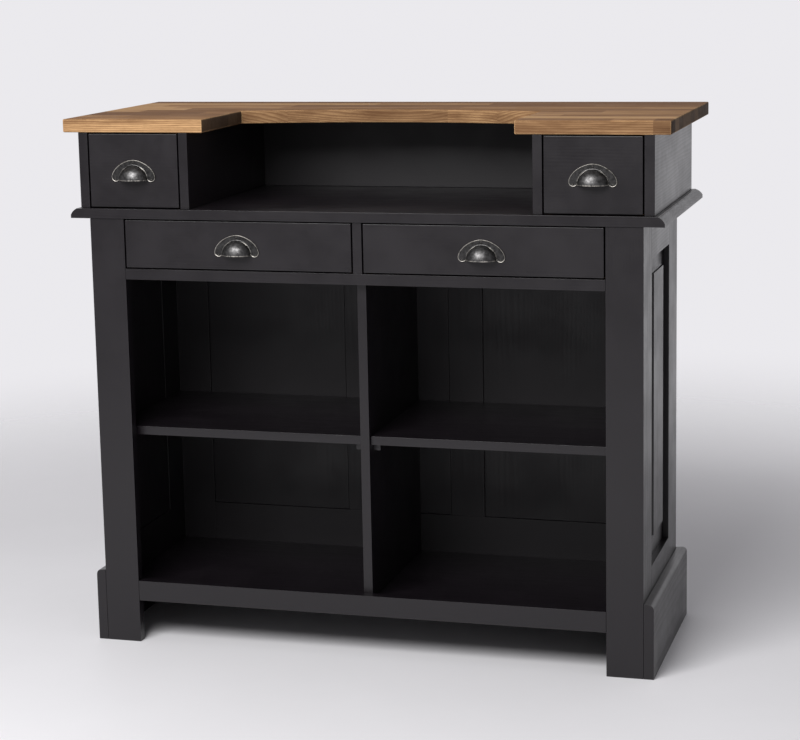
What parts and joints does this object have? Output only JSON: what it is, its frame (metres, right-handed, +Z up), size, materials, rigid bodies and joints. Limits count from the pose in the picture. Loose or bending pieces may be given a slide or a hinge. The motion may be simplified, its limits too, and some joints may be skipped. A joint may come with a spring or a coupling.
{
  "type": "bar counter with shelves",
  "caption": "Free-standing bar counter: painted cabinet with drawers, open shelves and a niche, framed panels outside, and a U-shaped wooden worktop.",
  "frame": {"origin": "on the floor under the middle of the object's bounding box", "axes": "+X to the right seen from the drawer side, +Y from the drawers to the customer side, +Z up"},
  "size_m": [1.245, 0.5364, 1.1],
  "materials": {
    "painted_wood": "satin anthracite paint over wood",
    "oiled_wood": "oiled brown staves",
    "bare_wood": "bare planed softwood",
    "pewter": "dark antique pewter with a worn rim"
  },
  "bodies": {
    "carcass": {"front_post_left": "painted_wood", "front_post_right": "painted_wood", "rear_post_left": "painted_wood", "rear_post_right": "painted_wood", "side_top_rail_left": "painted_wood", "side_low_rail_left": "painted_wood", "side_panel_left": "painted_wood", "side_top_rail_right": "painted_wood", "side_low_rail_right": "painted_wood", "side_panel_right": "painted_wood", "back_top_rail": "painted_wood", "back_low_rail": "painted_wood", "back_stile_left": "painted_wood", "back_stile_right": "painted_wood", "back_panel_left": "painted_wood", "back_panel_centre": "painted_wood", "back_panel_right": "painted_wood", "plinth_left": "painted_wood", "plinth_right": "painted_wood", "plinth_back": "painted_wood", "floor_rail": "painted_wood", "floor_board": "painted_wood", "centre_divider": "painted_wood", "drawer_partition": "painted_wood", "drawer_deck": "painted_wood", "shelf_left": "painted_wood", "shelf_right": "painted_wood", "shelf_cleat_left": "painted_wood", "shelf_cleat_right": "painted_wood", "waist_board": "painted_wood", "upper_side_left": "painted_wood", "upper_side_right": "painted_wood", "upper_back": "painted_wood", "upper_partition_left": "painted_wood", "upper_partition_right": "painted_wood", "worktop": "oiled_wood"},
    "wide_drawer_left": {"wide_drawer_left_front": "painted_wood", "wide_drawer_left_side_left": "bare_wood", "wide_drawer_left_side_right": "bare_wood", "wide_drawer_left_back": "bare_wood", "wide_drawer_left_bottom": "bare_wood", "wide_drawer_left_pull": "pewter"},
    "wide_drawer_right": {"wide_drawer_right_front": "painted_wood", "wide_drawer_right_side_left": "bare_wood", "wide_drawer_right_side_right": "bare_wood", "wide_drawer_right_back": "bare_wood", "wide_drawer_right_bottom": "bare_wood", "wide_drawer_right_pull": "pewter"},
    "small_drawer_left": {"small_drawer_left_front": "painted_wood", "small_drawer_left_side_left": "bare_wood", "small_drawer_left_side_right": "bare_wood", "small_drawer_left_back": "bare_wood", "small_drawer_left_bottom": "bare_wood", "small_drawer_left_pull": "pewter"},
    "small_drawer_right": {"small_drawer_right_front": "painted_wood", "small_drawer_right_side_left": "bare_wood", "small_drawer_right_side_right": "bare_wood", "small_drawer_right_back": "bare_wood", "small_drawer_right_bottom": "bare_wood", "small_drawer_right_pull": "pewter"}
  },
  "joints": [
    {"name": "wide_drawer_left_slide", "type": "slide", "parent": "carcass", "child": "wide_drawer_left", "axis": [0, -1, 0], "range_m": [0, 0.27]},
    {"name": "wide_drawer_right_slide", "type": "slide", "parent": "carcass", "child": "wide_drawer_right", "axis": [0, -1, 0], "range_m": [0, 0.27]},
    {"name": "small_drawer_left_slide", "type": "slide", "parent": "carcass", "child": "small_drawer_left", "axis": [0, -1, 0], "range_m": [0, 0.33]},
    {"name": "small_drawer_right_slide", "type": "slide", "parent": "carcass", "child": "small_drawer_right", "axis": [0, -1, 0], "range_m": [0, 0.33]}
  ]
}
